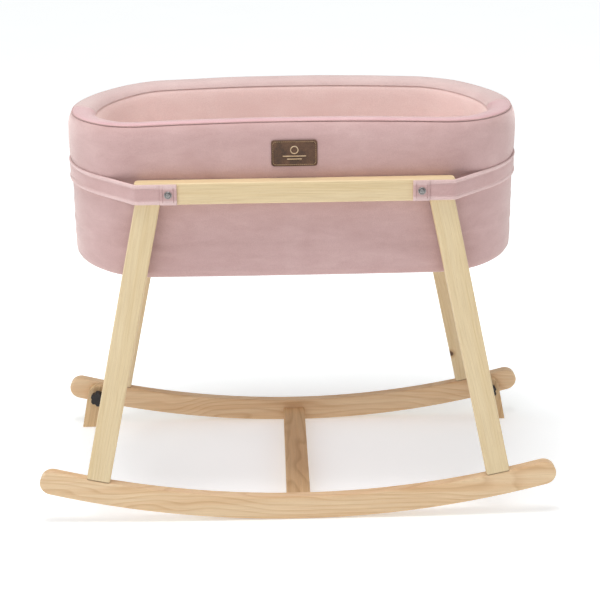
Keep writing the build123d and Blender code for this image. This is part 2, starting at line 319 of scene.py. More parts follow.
def spread(tree, value, low, high, to_low, to_high):
    settings = {1: low, 2: high, 3: to_low, 4: to_high, "interpolation_type": "SMOOTHSTEP"}
    return add(tree, "ShaderNodeMapRange", settings, in0=value).outputs[0]


def blended(tree, factor, first, second, kind="MIX"):
    """Two colours mixed. A colour is a socket or a hex value, and factor a socket or a number."""
    made = add(tree, "ShaderNodeMix", {"data_type": "RGBA", "blend_type": kind})
    for socket, value in ((0, factor), (6, first), (7, second)):
        if isinstance(value, str):
            made.inputs[socket].default_value = linear(value)
        elif isinstance(value, (int, float)):
            made.inputs[socket].default_value = value
        else:
            tree.links.new(made.inputs[socket], value)
    return made.outputs[2]


def bumped(tree, shader, height, distance, strength=1.0, under=None):
    made = add(tree, "ShaderNodeBump", {"Strength": strength, "Distance": distance})
    tree.links.new(made.inputs["Height"], height)
    if under is not None:
        tree.links.new(made.inputs["Normal"], under)
    tree.links.new(shader.inputs["Normal"], made.outputs[0])
    return made.outputs[0]


def velvet(name, base, shade, bright, nap=1.0, hollow=False):
    """Cut-pile polyester velvet: a soft cloudy nap, brighter where the pile leans away, no gloss."""
    look, tree, shader, place = start_material(
        name,
        0.92,
        Sheen_Weight=nap,
        Sheen_Roughness=0.36,
        Sheen_Tint=linear("FFF0EC"),
        Specular_IOR_Level=0.25,
    )
    # Brushed patches, some 110 mm across, and hand marks, some 25 mm across
    clouds = noisy(tree, place, 9, 3, 0.55, 0.6)
    marks = noisy(tree, pattern(tree, place, scale=(0.5, 0.5, 1.4)), 46, 3, 0.6, 0.4)
    # The real tufts are 0.2 mm apart; 1.6 mm is the finest that shows
    tufts = noisy(tree, place, 620, 2, 0.7)
    tone = calculate(tree, "MULTIPLY", clouds, 0.55)
    tone = calculate(tree, "ADD", tone, calculate(tree, "MULTIPLY", marks, 0.45))
    colour = ramp(tree, tone, ((0.30, shade), (0.52, base), (0.74, bright)))
    pile = ramp(tree, tufts, ((0.3, "D8D0CE"), (0.7, "FFFFFF")))
    colour = blended(tree, 0.35, colour, pile, "MULTIPLY")
    if hollow:
        # Painted shade: the pile is darker between the two proud edges of a belt, in the hollow where
        # shade falls
        height = add(tree, "ShaderNodeSeparateXYZ", in0=place).outputs[2]
        away = calculate(tree, "ABSOLUTE", calculate(tree, "SUBTRACT", height, RAIL_MIDDLE))
        hollow_shade = spread(tree, away, 0.0085, 0.0120, 1.0, 0.0)
        colour = blended(tree, hollow_shade, colour, blended(tree, 1.0, colour, "E9DEDE", "MULTIPLY"))
    tree.links.new(shader.inputs["Base Color"], colour)
    soft = bumped(tree, shader, marks, 0.0012, 0.35)
    bumped(tree, shader, tufts, 0.0005, 0.6, soft)
    return look


def wood(
    name, pale, mid, dark,
    turn=(0, 0, 0), rings=150.0, figure=1.0, satin=0.46, depth=0.8, knots=(), joint=None,
):
    """Sawn and sanded timber, lightly oiled: growth rings that wander along the grain, pores, satin.

    rings is their number per metre, figure how far they wander, depth how dark the late wood is.
    """
    look, tree, shader, place = start_material(name, satin, Coat_Weight=0.08, Coat_Roughness=0.35)
    grain = pattern(tree, place, turn=turn)
    # A slow wander of the rings, longer along the grain, gives the arched figure of a flat-sawn face
    slow = noisy(tree, pattern(tree, grain, scale=(3.0, 11, 11)), 1.0, 2, 0.45, 0.3)
    fine = noisy(tree, pattern(tree, grain, scale=(6, 70, 70)), 1.0, 2, 0.5)
    split = add(tree, "ShaderNodeSeparateXYZ", in0=grain)
    across = calculate(tree, "ADD", split.outputs[2], calculate(tree, "MULTIPLY", split.outputs[1], 0.6))
    reach = calculate(tree, "ADD", across, calculate(tree, "MULTIPLY", slow, 0.11 * figure))
    reach = calculate(tree, "ADD", reach, calculate(tree, "MULTIPLY", fine, 0.004))
    # Growth rings: early wood pale, late wood dark, with a sharp outer edge
    turnover = calculate(tree, "FRACT", calculate(tree, "MULTIPLY", reach, rings))
    late = ramp(tree, turnover, ((0.0, "202020"), (0.55, "6A6A6A"), (0.86, "FFFFFF"), (1.0, "202020")))
    # Fibres are finer than they can show; they are drawn about 1 mm apart and 60 mm long
    fibres = noisy(tree, pattern(tree, grain, scale=(16, 900, 900)), 1.0, 3, 0.65)
    # Pores some 5 mm long
    pores = noisy(tree, pattern(tree, grain, scale=(150, 1500, 1500)), 1.0, 1, 0.5)
    streak = noisy(tree, pattern(tree, grain, scale=(2.2, 60, 60)), 1.0, 3, 0.6)
    colour = ramp(tree, streak, ((0.30, mid), (0.62, pale)))
    strength = spread(tree, streak, 0.3, 0.8, 0.75, 0.35)
    late_tone = calculate(tree, "MULTIPLY", late, strength)
    colour = blended(tree, calculate(tree, "MULTIPLY", late_tone, depth), colour, dark)
    thread = ramp(tree, fibres, ((0.28, "CFC4B6"), (0.62, "FFFFFF")))
    colour = blended(tree, 0.40, colour, thread, "MULTIPLY")
    pitted = spread(tree, pores, 0.66, 0.74, 0.0, 0.35)
    colour = blended(tree, pitted, colour, dark)
    for centre, radius in knots:
        offset = add(tree, "ShaderNodeVectorMath", {"operation": "DISTANCE", 1: centre}, in0=place)
        wobble = calculate(tree, "MULTIPLY", noisy(tree, place, 160, 2), 0.004)
        away = calculate(tree, "ADD", offset.outputs["Value"], wobble)
        halo = spread(tree, away, radius * 1.9, radius * 0.9, 0.0, 0.55)
        heart = spread(tree, away, radius * 1.12, radius * 0.8, 0.0, 0.92)
        colour = blended(tree, halo, colour, "A9743F")
        colour = blended(tree, heart, colour, "4A2A14")
    if joint is not None:
        # The fine dark glue line where a leg's foot meets its rocker, drawn twice as wide as it is
        flat = add(tree, "ShaderNodeVectorMath", {"operation": "MULTIPLY", 1: (1, 0, 1)}, in0=place)
        centre = {"operation": "DISTANCE", 1: (0, 0, ROCKER_RADIUS)}
        away = add(tree, "ShaderNodeVectorMath", centre, in0=flat.outputs[0]).outputs["Value"]
        near = calculate(tree, "ABSOLUTE", calculate(tree, "SUBTRACT", away, joint))
        colour = blended(tree, spread(tree, near, 0.0022, 0.0006, 0.0, 0.8), colour, "6B4526")
    tree.links.new(shader.inputs["Base Color"], colour)
    tree.links.new(shader.inputs["Roughness"], spread(tree, fibres, 0.3, 0.7, satin - 0.05, satin + 0.1))
    rings_bump = bumped(tree, shader, late, 0.00012, 0.5)
    bumped(tree, shader, fibres, 0.00025, 0.6, rings_bump)
    return look


def metal(name, colour, roughness, brushed=900.0):
    """Plated or turned metal: fine turning marks and a soft mirror."""
    look, tree, shader, place = start_material(name, roughness, Metallic=1.0)
    marks = noisy(tree, pattern(tree, place, scale=(1, 0.08, 1)), brushed, 2, 0.6)
    tree.links.new(shader.inputs["Base Color"], blended(tree, marks, colour, "FFFFFF", "MULTIPLY"))
    polish = spread(tree, marks, 0.3, 0.7, roughness - 0.06, roughness + 0.1)
    tree.links.new(shader.inputs["Roughness"], polish)
    bumped(tree, shader, marks, 0.00008, 0.4)
    return look


def moulded_plastic(name, colour, worn):
    """Moulded black nylon: fine spark-eroded grain, lighter where hands have rubbed it."""
    look, tree, shader, place = start_material(name, 0.48, Specular_IOR_Level=0.5)
    grain = noisy(tree, place, 1400, 2, 0.6)
    rubbed = noisy(tree, place, 70, 3, 0.6)
    tree.links.new(shader.inputs["Base Color"], ramp(tree, rubbed, ((0.4, colour), (0.75, worn))))
    bumped(tree, shader, grain, 0.00015, 0.5)
    return look


def plain_cloth(name, colour, shade, threads):
    """Plain-woven cotton: over-and-under threads and a dull, dry surface."""
    look, tree, shader, place = start_material(name, 0.95, Sheen_Weight=0.15, Sheen_Roughness=0.5)
    split = add(tree, "ShaderNodeSeparateXYZ", in0=place)
    warp = calculate(tree, "SINE", calculate(tree, "MULTIPLY", split.outputs[0], threads))
    weft = calculate(tree, "SINE", calculate(tree, "MULTIPLY", split.outputs[1], threads))
    weave = calculate(tree, "MULTIPLY", warp, weft)
    slub = noisy(tree, pattern(tree, place, scale=(1, 6, 1)), 60, 3, 0.6)
    colour_out = blended(tree, slub, colour, shade)
    tree.links.new(shader.inputs["Base Color"], colour_out)
    bumped(tree, shader, weave, 0.0002, 0.6)
    return look


def cellular(name, colour, shade):
    """Cut polyurethane foam: open cells about 1.5 mm across, matt."""
    look, tree, shader, place = start_material(name, 1.0)
    cells = add(tree, "ShaderNodeTexVoronoi", {"Scale": 650.0}, in0=place).outputs["Distance"]
    tree.links.new(shader.inputs["Base Color"], ramp(tree, cells, ((0.1, shade), (0.5, colour))))
    bumped(tree, shader, cells, 0.0006, 0.7)
    return look


def leatherette(name, colour, shade, bright):
    """Embossed polyurethane on cloth: pebbled grain some 1.5 mm across with a waxy bloom."""
    look, tree, shader, place = start_material(name, 0.55, Coat_Weight=0.1, Coat_Roughness=0.4)
    pebbles = add(tree, "ShaderNodeTexVoronoi", {"Scale": 640.0, "feature": "SMOOTH_F1"}, in0=place)
    bloom = noisy(tree, place, 70, 4, 0.65)
    colours = ramp(tree, bloom, ((0.3, shade), (0.5, colour), (0.75, bright)))
    creases = ramp(tree, pebbles.outputs["Distance"], ((0.2, "FFFFFF"), (0.75, "A09890")))
    tree.links.new(shader.inputs["Base Color"], blended(tree, 0.6, colours, creases, "MULTIPLY"))
    bumped(tree, shader, pebbles.outputs["Distance"], -0.0003, 0.6)
    return look


def layered_board(name, pale, dark):
    """Birch plywood: five glued layers of veneer, 1.2 mm each, seen at the edge."""
    look, tree, shader, place = start_material(name, 0.6)
    split = add(tree, "ShaderNodeSeparateXYZ", in0=place)
    layers = calculate(tree, "SINE", calculate(tree, "MULTIPLY", split.outputs[2], 2 * pi / 0.0024))
    fibres = noisy(tree, pattern(tree, place, scale=(10, 300, 900)), 1.0, 3, 0.6)
    colour = ramp(tree, fibres, ((0.3, dark), (0.7, pale)))
    colour = blended(tree, spread(tree, layers, 0.0, 1.0, 0.0, 0.4), colour, dark)
    tree.links.new(shader.inputs["Base Color"], colour)
    bumped(tree, shader, fibres, 0.0002, 0.5)
    return look


# Dusty pink on the walls and belts. The front rim strip is pinker and the rear one greyer, which is
# painted sheen: the colours stand in for how the two strips' pile, laid in different directions, catches
# the light
velvet_wall = velvet("velvet_wall_cut_pile", "CFADAB", "C7A4A1", "D9BAB7")
velvet_lining = velvet("velvet_lining_cut_pile", "F4D8D4", "F0D1CD", "F8DFDB")
velvet_front_rim_painted_sheen = velvet("velvet_rim_front_painted_sheen", "DFB6BA", "D8ACB1", "E6C2C4")
velvet_rear_rim_painted_sheen = velvet("velvet_rim_rear_painted_sheen", "DAC1BE", "D3B8B5", "E1CAC6")
# hollow=True paints shade along the belt's hollow middle
velvet_belt = velvet("velvet_belt_cut_pile", "E3C6C4", "DCBDBA", "EBD2D0", hollow=True)
seam_thread = plain_cloth("seam_thread_spun_polyester", "DDB9B5", "CDA5A1", 9000)
light_thread = plain_cloth("label_thread_spun_polyester", "D9B98F", "C4A077", 9000)

# Ash with a strong flat-sawn figure on the rockers, stops and stretcher; the rings stand about 15 mm apart
ash_rocker = wood("ash_sawn_oiled_rocker", "ECD0AA", "E3BE92", "C3925F", rings=62, figure=1.5, depth=0.6)
ash_darker = ("DFBF92", "CFA878", "A37646")
ash_stop = wood("ash_sawn_oiled_stop", *ash_darker, turn=(0, radians(79), 0), rings=70, depth=0.6)
ash_stretcher = wood(
    "ash_sawn_oiled_stretcher", *ash_darker, turn=(0, 0, radians(90)), rings=70, depth=0.6
)
# Pine, paler and quieter, with rings about 7 mm apart
knot_place = (0.3262, 0.2195, 0.140)
pine_colours = ("E8D3AC", "E2CA9E", "CFAE7C")
pine_grain = {"rings": 150, "figure": 0.45, "depth": 0.30}
pine_rail = wood("pine_planed_oiled_rail", *pine_colours, **pine_grain)
pine_left = wood(
    "pine_planed_oiled_left_leg", *pine_colours, **pine_grain,
    turn=(0, pi / 2 - LEG_SPLAY, 0), joint=ROCKER_RADIUS - ROCKER_HEIGHT,
)
pine_right = wood(
    "pine_planed_oiled_right_leg", *pine_colours, **pine_grain,
    turn=(0, pi / 2 + LEG_SPLAY, 0), joint=ROCKER_RADIUS - ROCKER_HEIGHT,
    knots=((knot_place, 0.0085),),
)
beech = wood("beech_turned_dowel", "E2C29A", "D3AD80", "B98D5C", rings=400, figure=0.2)
plywood = layered_board("birch_plywood_sawn", "E3CDA4", "B98F5E")
zinc = metal("steel_zinc_plated", "A19E9D", 0.34)
brass = metal("brass_turned", "C9A456", 0.3)
nylon = moulded_plastic("nylon_moulded_black", "1C1513", "34302E")
foam_look = cellular("foam_cut_polyurethane", "EFE3C4", "D8C69C")
ticking = plain_cloth("cotton_ticking_woven", "F1ECE2", "DDD5C8", 2 * pi / 0.0018)
patch_look = leatherette("leatherette_embossed", "5F3F28", "492F1C", "77523A")
mark_look = leatherette("leatherette_foil_mark", "E2C49F", "CDAA82", "EED9B9")

node_looks = {
    ash_rocker: ("ash_rocker", "front_rocker", "rear_rocker"),
    ash_stretcher: ("ash_rocker", "stretcher"),
    ash_stop: ("ash_rocker", "left_stop", "right_stop"),
    pine_rail: ("pine_leg", "front_rail", "rear_rail"),
    pine_left: ("pine_leg", "front_left_leg", "rear_left_leg"),
    pine_right: ("pine_leg", "front_right_leg", "rear_right_leg"),
    beech: ("beech_dowel", "leg_foot_dowels", "leg_top_dowels", "stretcher_dowels"),
    brass: ("brass_insert", "stop_inserts"),
    zinc: ("zinc_steel", "left_knob_stud", "right_knob_stud", "left_stop_washer", "right_stop_washer"),
    nylon: ("black_plastic", "left_stop_knob", "right_stop_knob"),
    plywood: ("plywood", "base_board"),
}
for look, (slot_name, *names) in node_looks.items():
    for name in names:
        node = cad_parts[name]
        node.data.materials.clear()
        node.data.materials.append(look)


# ---------------------------------------------------------------- basket


def wrinkle(at):
    """Slack of the cover low on its walls, in long shallow folds that run round the basket."""
    stretched = Vector((at.x * 6, at.y * 6, at.z * 60))
    folds = noise.noise(stretched) + 0.5 * noise.noise(stretched * 2.1 + Vector((3, 1, 7)))
    low = smooth(0.462, 0.475, at.z) * (1 - smooth(0.51, 0.60, at.z))
    high = smooth(0.64, 0.66, at.z) * (1 - smooth(0.68, 0.71, at.z))
    swell = noise.noise(Vector((at.x * 9, at.y * 9, at.z * 14 + 5)))
    return 0.0019 * folds * low + 0.0005 * folds * high + 0.0009 * swell


# The wall's section: how far inside the outline, and height; the top of it follows the rim's arc
cover_section = rounded(
    (
        (0.022, 0.453), (0.007, 0.4532), (0.0010, 0.459), (0.0, 0.472),
        (0.0, 0.520), (0.0, 0.570), (0.0, 0.6255), (-0.0004, 0.6320), (-0.0026, 0.639),
        (-0.0034, 0.658), (-0.0036, 0.682), (-0.0032, 0.698), (-0.0020, 0.7100), (0.0008, 0.7188),
        (0.0044, 0.7245), (0.0078, 0.7262),
    )
)
COVER_FOOT_INSET = 0.022
LINING_FOOT_INSET = 0.072
LINING_FLOOR = 0.4653
# How much of the rows of faces goes to the floor, the rest to the wall
FLOOR_SHARE = 0.25


def rim_drop(x, height):
    """How far the rim's arc lowers a point of the wall; nothing low down, all of it at the top."""
    return (CREST - arch(x)) * smooth(0.60, 0.712, height)


def cover_place(u, v):
    if v < FLOOR_SHARE:
        edge, out = outline(u)
        edge = edge - COVER_FOOT_INSET * out
        share = v / FLOOR_SHARE
        sag = 0.0012 * sin(pi * share) * noise.noise(Vector((edge.x * 5, edge.y * 5, share * 3)))
        return Vector((edge.x * share, edge.y * share, BASKET_BOTTOM + abs(sag)))
    inset, height = along_line(cover_section, (v - FLOOR_SHARE) / (1 - FLOOR_SHARE))
    edge, out = outline(u)
    at = edge - inset * out + Vector((0, 0, height - rim_drop(edge.x, height)))
    return at + out * wrinkle(at)


def shell_from(name, place, columns, rows, thickness):
    """A fabric laid on a surface and given its thickness, inwards."""
    obj = wrapped(name, columns, rows, place)
    solid = obj.modifiers.new("thickness", "SOLIDIFY")
    solid.thickness = thickness
    solid.offset = -1.0
    apply_modifiers(obj)
    return obj


cover = shell_from("basket_cover_velvet", cover_place, 320, 64, 0.0018)
finish_piece(cover, "basket", "velvet_wall", velvet_wall, "basket_cover")

# The foam wall and its rounded foot, in one moulded ring with the board let into it
foam_section = (
    (0.0246, 0.4558), (0.012, 0.4565), (0.0045, 0.464), (0.0036, 0.483), (0.0036, 0.560),
    (0.0034, 0.630), (0.0014, 0.645), (0.0008, 0.668), (0.0012, 0.698), (0.0034, 0.7120),
    (0.0090, 0.7205), (0.016, 0.7235), (0.026, 0.7235), (0.034, 0.7215), (0.0405, 0.7170),
    (0.0450, 0.7090), (0.0466, 0.6960), (0.0468, 0.560), (0.0468, 0.4626), (0.036, 0.4626),
    (0.0246, 0.4622),
)
foam_loop = rounded([*foam_section, foam_section[0]], rounds=1)


def foam_place(u, v):
    inset, height = along_line(foam_loop, v)
    edge, out = outline(u)
    return edge - inset * out + Vector((0, 0, height - rim_drop(edge.x, height)))


wall_foam = wrapped("wall_foam_pad", 240, 52, foam_place)
finish_piece(wall_foam, "basket", "foam", foam_look, "wall_foam")

# Lining: down the inside of the wall, round a soft corner and across the floor
lining_section = rounded(
    (
        (0.0250, 0.7242), (0.0330, 0.7240), (0.0400, 0.7222), (0.0448, 0.7184), (0.0478, 0.7120),
        (0.0492, 0.7030), (0.0498, 0.6860), (0.0502, 0.600), (0.0500, 0.503), (0.0506, 0.481),
        (0.0560, 0.4690), (0.0720, 0.4654),
    )
)


def lining_place(u, v):
    edge, out = outline(u)
    if v < FLOOR_SHARE:
        rim = edge - LINING_FOOT_INSET * out
        share = v / FLOOR_SHARE
        return Vector((rim.x * share, rim.y * share, LINING_FLOOR))
    inset, height = along_line(lining_section, 1 - (v - FLOOR_SHARE) / (1 - FLOOR_SHARE))
    at = edge - inset * out + Vector((0, 0, height - rim_drop(edge.x, height)))
    fold = noise.noise(Vector((at.x * 8, at.y * 8, at.z * 16 + 9)))
    return at + out * 0.0009 * fold * smooth(0.47, 0.50, at.z) * (1 - smooth(0.65, 0.69, at.z))


lining = shell_from("basket_lining_velvet", lining_place, 280, 56, 0.0016)
finish_piece(lining, "basket", "velvet_lining", velvet_lining, "basket_liner")

# Rim strips: a crowned band over the wall's top, in a front and a rear half
rim_section = rounded(
    (
        (0.0240, 0.0050), (0.0160, 0.0046), (0.0090, 0.0048), (0.0068, 0.0042), (0.0064, 0.0026),
        (0.0090, 0.0009), (0.0150, 0.0000), (0.0240, 0.0003), (0.0320, 0.0015), (0.0385, 0.0036),
        (0.0435, 0.0072), (0.0468, 0.0118), (0.0478, 0.0138), (0.0470, 0.0146), (0.0452, 0.0122),
        (0.0420, 0.0090), (0.0375, 0.0066), (0.0310, 0.0054), (0.0240, 0.0050),
    )
)


# Half the gap where the front strip's end meets the rear strip's
STRIP_END_GAP = 0.00055


def tucked_under(inset, drop):
    """The end of a rim strip, closed on a line half way through its thickness."""
    return inset + 0.0004, drop + 0.0030 if inset < 0.030 else drop


def rim_strip(name, y_side):
    """One half of the rim, from the +X end to the -X end, with its ends turned under."""
    start = 0.0 if y_side > 0 else 0.5

    def place(u, v):
        share = start + 0.5 * u
        at, out = outline(share)
        inset, drop = along_line(rim_section, v)
        from_end = min(u, 1 - u) * 2 * QUARTER
        tuck = 1 - smooth(0.0, 0.006, from_end)
        drop += 0.0016 * tuck
        if from_end < 1e-6:
            inset, drop = tucked_under(inset, drop)
        stuffing = noise.noise(Vector((at.x * 14, at.y * 14, 0.3 * y_side)))
        drop -= 0.0006 * stuffing * smooth(0.006, 0.0, drop)
        point = at - inset * out
        point.z = arch(at.x, drop)
        if from_end < 0.004:
            point.y += y_side * STRIP_END_GAP * (1 - from_end / 0.004)
        return point

    return wrapped(name, 260, 44, place, angle=60)


# The two rim strips differ in colour as painted sheen for their different nap directions
front_rim = rim_strip("front_rim_pad", -1)
finish_piece(front_rim, "basket", "velvet_rim_front", velvet_front_rim_painted_sheen, "front_rim_strip")
rear_rim = rim_strip("rear_rim_pad", 1)
finish_piece(rear_rim, "basket", "velvet_rim_rear", velvet_rear_rim_painted_sheen, "rear_rim_strip")

# The stitched seam in the groove between the rim strips and the wall
seam_points = []
for k in range(1200):
    at, out = outline(k / 1200)
    dip = 0.0003 * (1 if k % 4 < 2 else -1)
    seam_points.append(at - (0.0062 + dip) * out + Vector((0, 0, arch(at.x, 0.0034) - at.z)))
rim_seam = tube("rim_seam_thread", seam_points, 0.0009, 6, closed=True)
finish_piece(rim_seam, "basket", "velvet_wall", seam_thread)


# ---------------------------------------------------------------- mattress


def mattress_place(u, v):
    """A pad with a rounded edge, a little hollow where its ticking is drawn in at the piping."""
    edge, out = outline(u)
    low, high = 0.4665, 0.5105
    section = rounded(((0.30, low), (0.074, low), (0.060, low + 0.007), (0.0592, (low + high) / 2),
                       (0.060, high - 0.007), (0.074, high), (0.30, high)), rounds=2)
    inset, height = along_line(section, v)
    keep = min(1.0, (0.30 - inset) / 0.19)
    rim = edge - min(inset, 0.11) * out
    return Vector((rim.x * keep, rim.y * keep, height))


def swollen(obj, voxel, pressure, cap, frames=20):
    """Remeshes a pad and lets air pressure fill it as cloth; no point moves further than cap."""
    active(obj)
    remesh = obj.modifiers.new("even", "REMESH")
    remesh.mode = "VOXEL"
    remesh.voxel_size = voxel
    apply_modifiers(obj)
    before = [v.co.copy() for v in obj.data.vertices]
    cloth = obj.modifiers.new("fill", "CLOTH")
    cloth.settings.use_pressure = True
    cloth.settings.uniform_pressure_force = pressure
    cloth.settings.effector_weights.gravity = 0.0
    cloth.settings.quality = 5
    cloth.settings.mass = 0.3
    cloth.point_cache.frame_start = 1
    cloth.point_cache.frame_end = frames
    for step in range(1, frames + 1):
        bpy.context.scene.frame_set(step)
    apply_modifiers(obj)
    bpy.context.scene.frame_set(1)
    for vertex, was in zip(obj.data.vertices, before):
        move = vertex.co - was
        if move.length > cap:
            vertex.co = was + move * (cap / move.length)
    smoother = obj.modifiers.new("smoother", "SUBSURF")
    smoother.levels = smoother.render_levels = 1
    apply_modifiers(obj)
    clean(obj)
    return obj


mattress = wrapped("mattress_pad", 120, 24, mattress_place)
mattress = swollen(mattress, 0.006, 4.0, 0.005)
floor_of_lining, roof = 0.4661, 0.5128
for vertex in mattress.data.vertices:
    vertex.co.z = min(roof, max(floor_of_lining, vertex.co.z))
finish_piece(mattress, "mattress", "cotton_ticking", ticking, "mattress_ticking", "mattress_core")

# Piping round the mattress, sewn over its upper and lower edges
for level, height in (("upper", 0.5042), ("lower", 0.4730)):
    loop = []
    for k in range(220):
        at, out = outline(k / 220)
        # The cord is sewn to the ticking, so it lies on the filled pad's own surface
        found, near, normal, _ = mattress.closest_point_on_mesh(at - 0.0588 * out + Vector((0, 0, height)))
        loop.append(near + 0.0012 * normal)
    for _ in range(3):
        loop = [(loop[k - 1] + 2 * loop[k] + loop[(k + 1) % 220]) / 4 for k in range(220)]
    piping = tube(f"mattress_{level}_piping", loop, 0.0019, 8, closed=True)
    finish_piece(piping, "mattress", "cotton_ticking", ticking)


# ---------------------------------------------------------------- belts


def belt_line():
    """Centre line of a belt's right-hand half, from the end of its hem to the basket's end."""
    half = 0.0015
    corner = Vector((RAIL_HALF - RAIL_END_RADIUS, RAIL_FACE_Y - RAIL_END_RADIUS, 0))
    centre = Vector((HALF_LENGTH - END_RADIUS, 0, 0))
    basket_side = END_RADIUS + 0.0004
    across = centre - corner
    spread_angle = acos((RAIL_END_RADIUS - basket_side) / across.length)
    leave = atan2(across.y, across.x) + spread_angle
    points = []
    hem_end = BELT_TAB_END + BELT_HEM
    for k in range(8):
        x = hem_end + (BELT_TAB_END + half - hem_end) * k / 8
        points.append(Vector((x, RAIL_FACE_Y + 3 * half + 0.0001, 0)))
    for k in range(9):
        turn = pi / 2 + pi * k / 8
        fold = Vector((BELT_TAB_END + half, RAIL_FACE_Y + 2 * half + 0.0001, 0))
        points.append(fold + (half + 0.00005) * Vector((cos(turn), sin(turn), 0)))
    for k in range(1, 14):
        x = BELT_TAB_END + half + (corner.x - BELT_TAB_END - half) * k / 14
        points.append(Vector((x, RAIL_FACE_Y + half, 0)))
    for k in range(7):
        turn = pi / 2 + (leave - pi / 2) * k / 6
        points.append(corner + (RAIL_END_RADIUS + half) * Vector((cos(turn), sin(turn), 0)))
    start = corner + (RAIL_END_RADIUS + half) * Vector((cos(leave), sin(leave), 0))
    end = centre + (basket_side + half) * Vector((cos(leave), sin(leave), 0))
    for k in range(1, 12):
        points.append(start.lerp(end, k / 12))
    for k in range(40):
        turn = leave * (1 - k / 39)
        points.append(centre + (basket_side + half) * Vector((cos(turn), sin(turn), 0)))
    return points


half_line = belt_line()
whole_line = half_line + [Vector((p.x, -p.y, 0)) for p in reversed(half_line[:-1])]

# Across the belt: height and half thickness, with a rolled edge and the dip of its stitch line
belt_across = (
    (-0.0175, 0.0000), (-0.0173, 0.0012), (-0.0166, 0.0021), (-0.0153, 0.0026), (-0.0138, 0.0024),
    (-0.0124, 0.0017), (-0.0114, 0.0009), (-0.0104, 0.0012), (-0.0050, 0.0014), (0.0, 0.0015),
    (0.0050, 0.0014), (0.0104, 0.0012), (0.0114, 0.0009), (0.0124, 0.0017), (0.0138, 0.0024),
    (0.0153, 0.0026), (0.0166, 0.0021), (0.0173, 0.0012), (0.0175, 0.0000),
)


def belt(name, x_side):
    count = len(whole_line)
    sides = []
    for k in range(count):
        before = whole_line[max(0, k - 1)]
        after = whole_line[min(count - 1, k + 1)]
        ahead = (after - before).normalized()
        sides.append(Vector((ahead.y, -ahead.x, 0)))
    rows = 2 * (len(belt_across) - 1)

    def place(u, v):
        k = min(count - 1, round(u * (count - 1)))
        row = round(v * rows) % rows
        outer = row < len(belt_across)
        height, half = belt_across[row if outer else rows - row]
        # The rolled edges flatten towards the hem, where the strap is folded on itself
        rolled = smooth(0.229, 0.242, abs(whole_line[k].x))
        half = min(half, 0.0014 + 0.0012 * rolled)
        side = sides[k]
        rounding = 0.25 if k in (0, count - 1) else 1.0
        offset = (half if outer else -min(half, 0.0013)) * rounding
        at = whole_line[k] - side * offset + Vector((0, 0, RAIL_MIDDLE + height))
        at.x *= x_side
        return at

    strap = wrapped(name, count - 1, rows, place, angle=50)
    active(strap)
    bpy.ops.object.mode_set(mode="EDIT")
    bpy.ops.mesh.select_all(action="DESELECT")
    bpy.ops.mesh.select_non_manifold(extend=False)
    bpy.ops.mesh.fill_holes(sides=0)
    bpy.ops.mesh.select_all(action="SELECT")
    bpy.ops.mesh.normals_make_consistent(inside=False)
    bpy.ops.object.mode_set(mode="OBJECT")
    return strap


def belt_stitches(name, x_side):
    """Rows of stitches along both edges and across each hem, as thread that dips at each stitch."""
    outward = []
    count = len(whole_line)
    for k in range(count):
        ahead = (whole_line[min(count - 1, k + 1)] - whole_line[max(0, k - 1)]).normalized()
        outward.append(Vector((-ahead.y, ahead.x, 0)))
    runs = []
    # The hem's layer faces out with the strap's other side, so the stitches start past the fold
    first, last = 17, count - 18
    for level in (-0.0112, 0.0112):
        line = []
        distance = 0.0
        for k in range(first, last):
            a, b = whole_line[k], whole_line[k + 1]
            span = (b - a).length
            pieces = max(1, round(span / 0.0011))
            for j in range(pieces):
                distance += span / pieces
                lift = 0.00085 if (distance / 0.0034) % 1 < 0.62 else 0.0003
                normal = outward[k].lerp(outward[k + 1], j / pieces).normalized()
                if normal.dot(Vector((a.x - 0.1, a.y, 0))) < 0:
                    normal = -normal
                at = a.lerp(b, j / pieces) + normal * lift
                line.append(Vector((at.x * x_side, at.y, RAIL_MIDDLE + level)))
        runs.append(tube(f"{name}_run", line, 0.00042, 5))
    face = RAIL_FACE_Y + 0.0061
    for y_side in (-1, 1):
        for x in (BELT_TAB_END + 0.0045, BELT_TAB_END + 0.0230):
            line = []
            for k in range(28):
                lift = 0.00025 if k % 3 < 2 else -0.0003
                height = RAIL_MIDDLE - 0.0135 + 0.001 * k
                line.append(Vector((x * x_side, y_side * (face + lift), height)))
            runs.append(tube(f"{name}_hem", line, 0.00045, 5))
    return joined(name, runs)


for side_name, x_side in (("left", -1), ("right", 1)):
    strap = belt(f"{side_name}_belt_strap", x_side)
    finish_piece(strap, "stand", "velvet_belt", velvet_belt, f"{side_name}_belt")
    stitches = belt_stitches(f"{side_name}_belt_stitches", x_side)
    finish_piece(stitches, "stand", "velvet_belt", seam_thread)


# ---------------------------------------------------------------- belt screws


def lathed(name, profile, steps=40):
    """A turned piece about Z, from its profile of radius and height."""

    def place(u, v):
        radius, height = profile[round(v * (len(profile) - 1))]
        turn = 2 * pi * u
        return Vector((radius * cos(turn), radius * sin(turn), height))

    return wrapped(name, steps, len(profile) - 1, place, angle=30)


def on_rail(obj, x, y_side):
    """Stands a fastener on a rail's outer face at x, over the belt's tab."""
    turn = Matrix.Rotation(radians(90 if y_side < 0 else -90), 4, "X")
    obj.matrix_world = Matrix.Translation((x, y_side * (RAIL_FACE_Y + 0.0062), RAIL_MIDDLE)) @ turn
    return settle(obj)


def cup_washer():
    """A finishing cup pressed from sheet: a rolled skirt and a cone that takes the screw's head."""
    return lathed(
        "cup",
        (
            (0.0020, 0.0002), (0.0063, 0.0002), (0.0066, 0.0006), (0.0064, 0.0012), (0.0058, 0.0017),
            (0.0052, 0.0018), (0.0047, 0.0015), (0.0043, 0.0010), (0.0030, 0.0004), (0.0020, 0.0004),
            (0.0020, 0.0002),
        ),
    )


